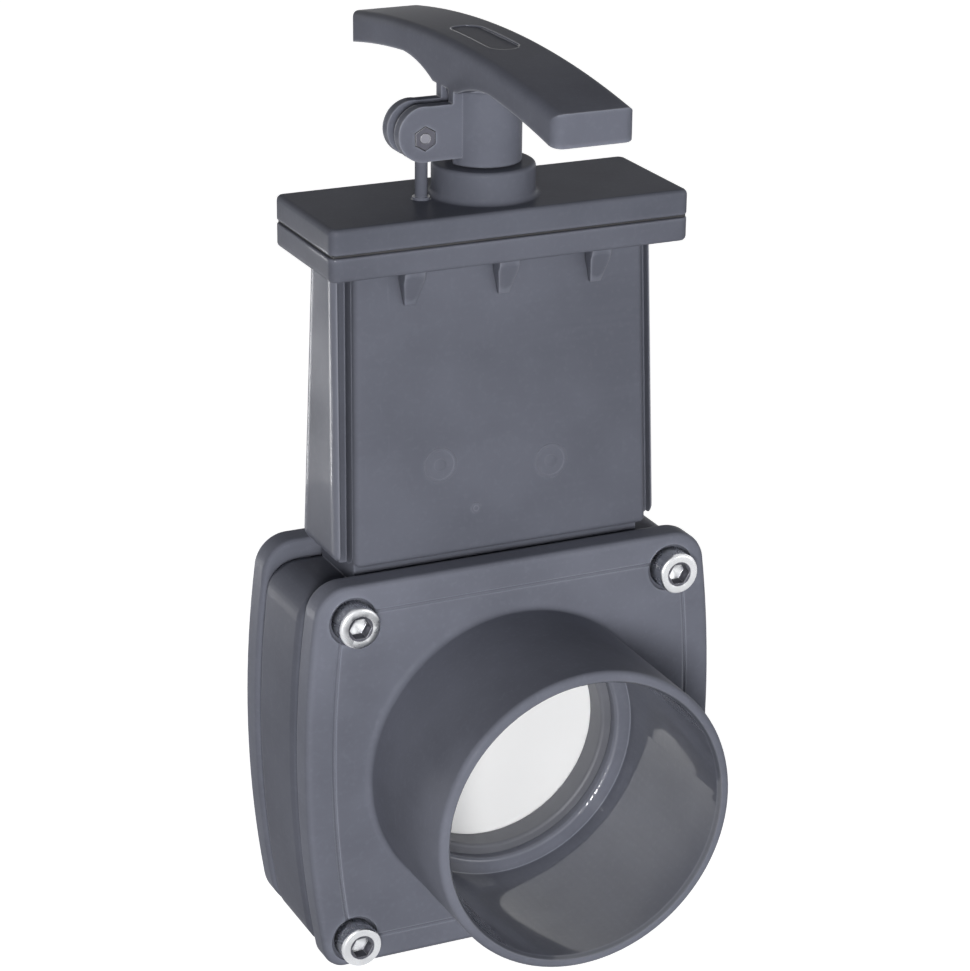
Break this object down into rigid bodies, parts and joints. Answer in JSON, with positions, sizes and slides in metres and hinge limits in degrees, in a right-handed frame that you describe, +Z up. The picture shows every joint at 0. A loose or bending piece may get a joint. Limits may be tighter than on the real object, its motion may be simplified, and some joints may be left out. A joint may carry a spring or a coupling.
{
  "type": "pvc knife gate valve",
  "caption": "Knife gate valve with plain pipe spigots on a clamped body; a flat gate in the tall neck is lifted by an arched pull handle on a round shaft.",
  "frame": {"origin": "middle of the body's foot, on the floor under the bore axis", "axes": "+X across the valve, +Y along the pipe to the rear (the screw heads are on the -Y side), +Z up along the shaft"},
  "size_m": [0.09, 0.102, 0.1854],
  "materials": {
    "body_pvc": "moulded grey PVC, satin",
    "cap_pvc": "moulded grey PVC, satin",
    "handle_pvc": "moulded grey PVC, satin",
    "gate_plastic": "smooth white plastic sheet",
    "seat_rubber": "grey moulded rubber",
    "ring_rubber": "black rubber",
    "gasket_rubber": "dark grey sheet rubber",
    "bush_plastic": "turned bearing plastic",
    "shaft_steel": "ground stainless steel",
    "screw_steel": "stainless steel, drawn and rolled",
    "nut_steel": "dark passivated steel"
  },
  "bodies": {
    "valve_body": {"front_flange": "body_pvc", "rear_flange": "body_pvc", "gate_housing": "body_pvc", "front_seat": "seat_rubber", "rear_seat": "seat_rubber", "front_oring": "ring_rubber", "rear_oring": "ring_rubber", "cap": "cap_pvc", "cap_gasket": "gasket_rubber", "gland_bush": "bush_plastic", "shaft_orings": "ring_rubber", "wiper_ring": "ring_rubber", "flange_screws": "screw_steel", "flange_washers": "screw_steel", "flange_nuts": "screw_steel"},
    "pull_set": {"gate": "gate_plastic", "shaft": "shaft_steel", "gate_pin": "shaft_steel", "handle": "handle_pvc", "clamp_screw": "screw_steel", "clamp_nut": "nut_steel"}
  },
  "joints": [
    {"name": "gate_lift", "type": "slide", "parent": "valve_body", "child": "pull_set", "axis": [0, 0, 1], "range_m": [0, 0.053]}
  ]
}
